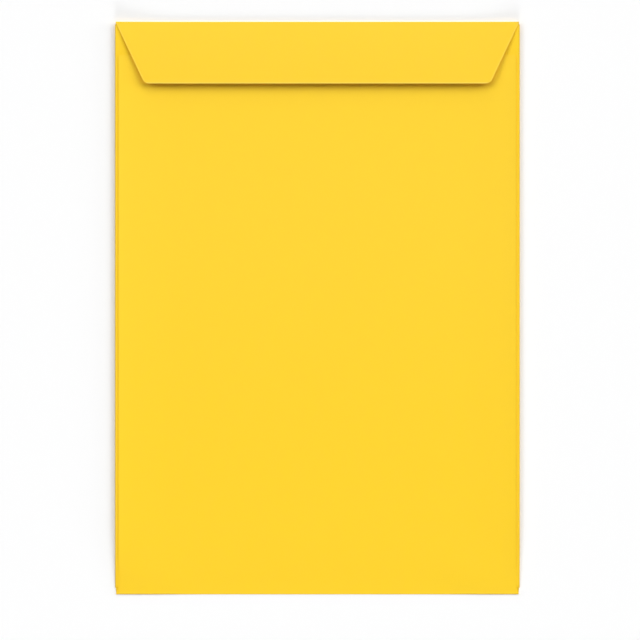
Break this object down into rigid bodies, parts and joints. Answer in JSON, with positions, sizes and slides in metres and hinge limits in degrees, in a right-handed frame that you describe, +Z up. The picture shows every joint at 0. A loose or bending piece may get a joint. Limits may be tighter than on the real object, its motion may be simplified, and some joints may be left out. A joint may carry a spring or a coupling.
{
  "type": "paper envelope",
  "caption": "Plain yellow C4 pocket envelope of one folded paper sheet, lying on its address side with its closing flap folded over and unsealed.",
  "frame": {"origin": "middle of the address side, on the surface that the envelope lies on", "axes": "+X across the envelope, +Y along its length toward the closing flap's fold, +Z up, out of its back"},
  "size_m": [0.229, 0.324, 0.0042],
  "materials": {
    "yellow_paper": "matte"
  },
  "bodies": {
    "root": {"envelope": "yellow_paper"}
  },
  "joints": []
}
